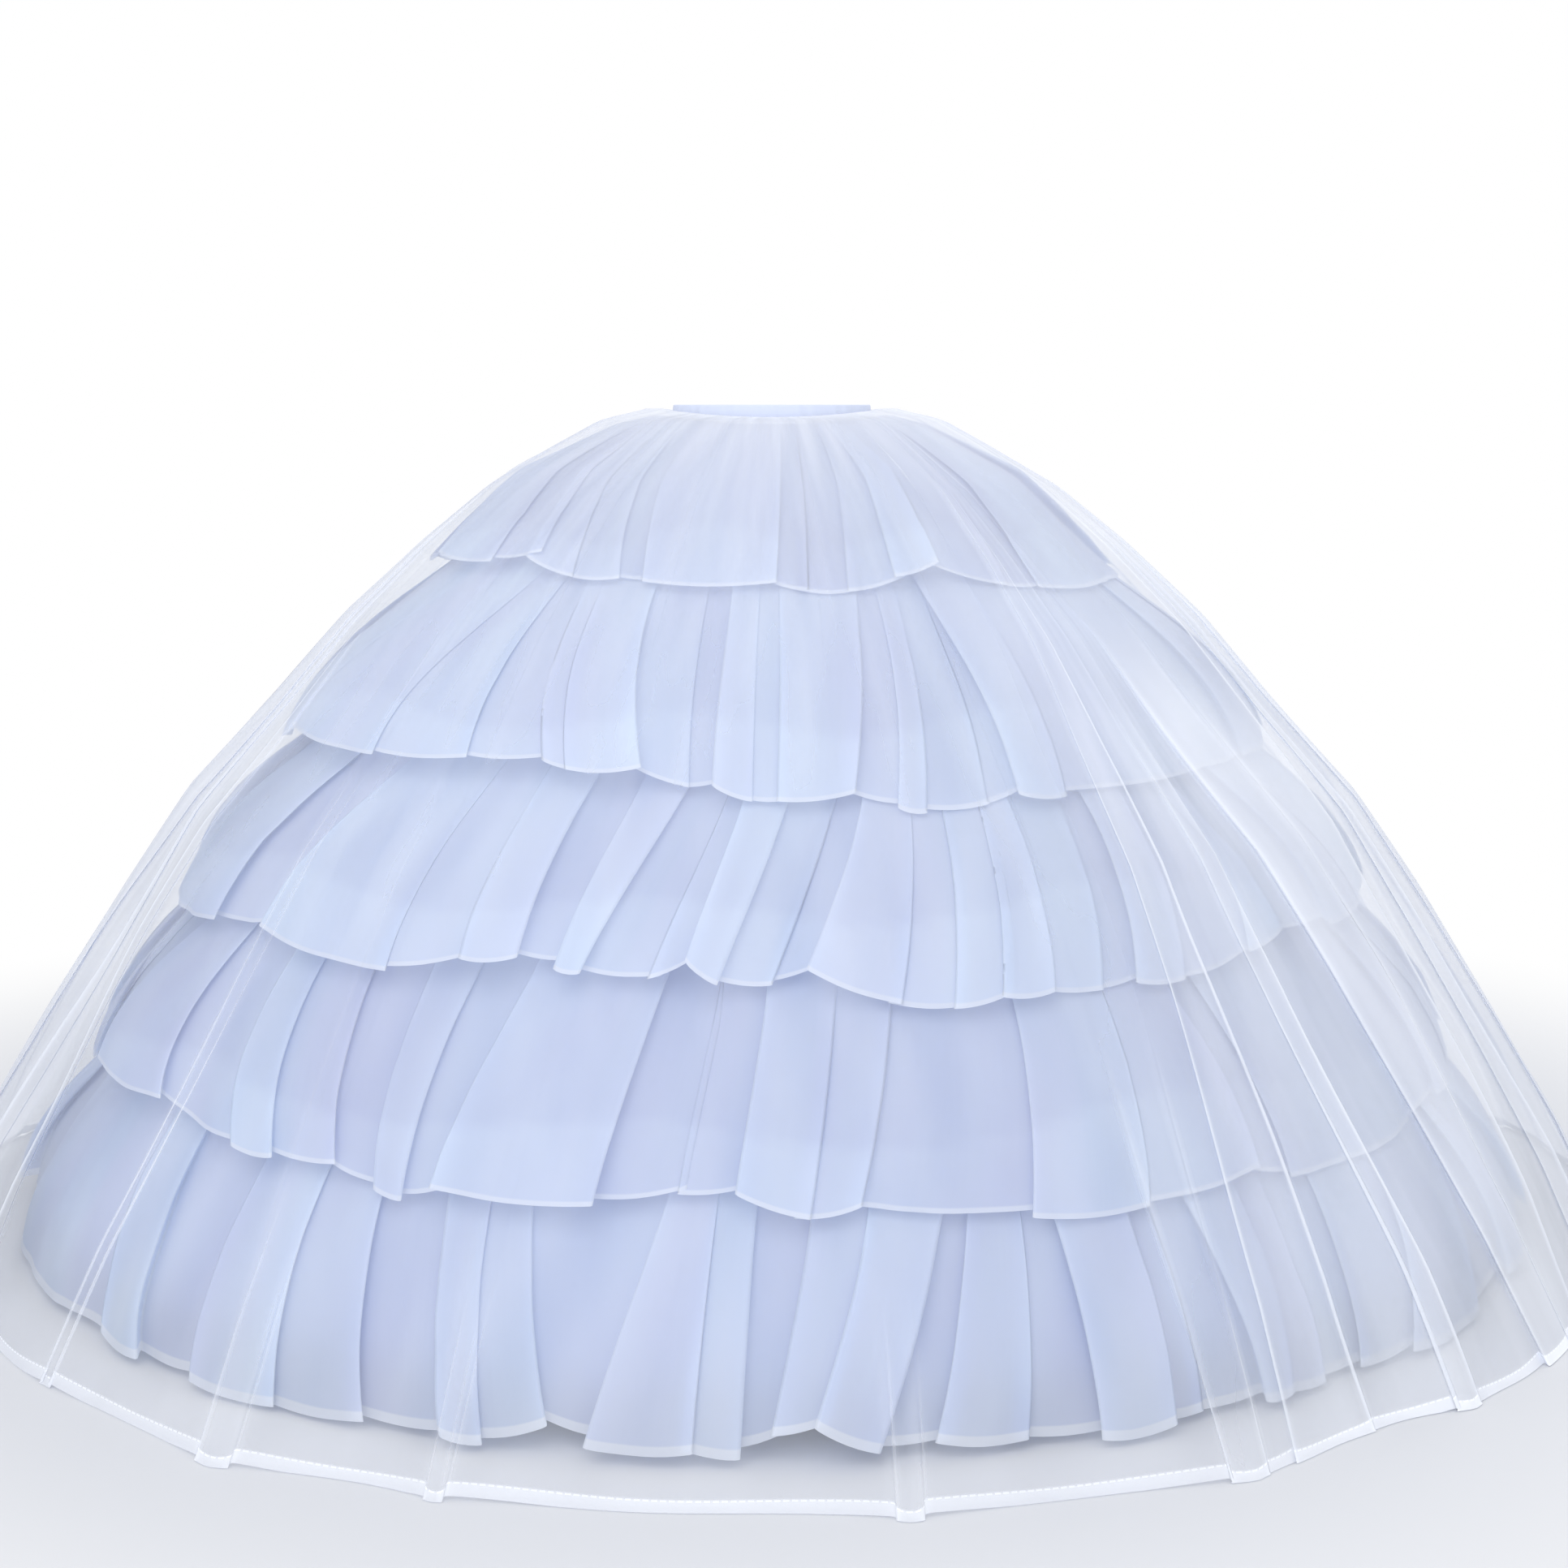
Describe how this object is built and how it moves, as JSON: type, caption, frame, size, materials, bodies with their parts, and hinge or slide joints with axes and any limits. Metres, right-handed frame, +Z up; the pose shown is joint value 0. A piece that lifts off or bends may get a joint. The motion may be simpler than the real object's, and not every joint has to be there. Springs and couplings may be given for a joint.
{
  "type": "hooped crinoline petticoat",
  "caption": "Floor-length crinoline petticoat: flat spring hoops in a plain lining, tiers of gathered translucent flounces, a sheer overlay and an elastic waistband.",
  "frame": {"origin": "on the floor, under the centre of the waist opening", "axes": "+Z up along the waist axis, the wearer faces -Y, the back of the skirt is at +Y"},
  "size_m": [2.0836, 2.0882, 0.98],
  "materials": {
    "elastic": "ribbed woven elastic",
    "band_cloth": "matt plain weave",
    "lining_cloth": "matt plain weave",
    "hoop_strip": "satin white coating on spring strip",
    "joiner_sheet": "plain folded sheet",
    "casing_tape": "matt woven tape",
    "flounce_cloth": "translucent crisp net",
    "sheer_cloth": "very sheer fine net"
  },
  "bodies": {
    "root": {"waist_elastic": "elastic", "waistband": "band_cloth", "foundation_skirt": "lining_cloth", "hoop_1": "hoop_strip", "hoop_2": "hoop_strip", "hoop_3": "hoop_strip", "hoop_4": "hoop_strip", "hoop_joiner_1": "joiner_sheet", "hoop_joiner_2": "joiner_sheet", "hoop_joiner_3": "joiner_sheet", "hoop_joiner_4": "joiner_sheet", "hoop_casing_1": "casing_tape", "hoop_casing_2": "casing_tape", "hoop_casing_3": "casing_tape", "hoop_casing_4": "casing_tape", "flounce_1": "flounce_cloth", "flounce_2": "flounce_cloth", "flounce_3": "flounce_cloth", "flounce_4": "flounce_cloth", "flounce_5": "flounce_cloth", "overlay": "sheer_cloth"}
  },
  "joints": []
}
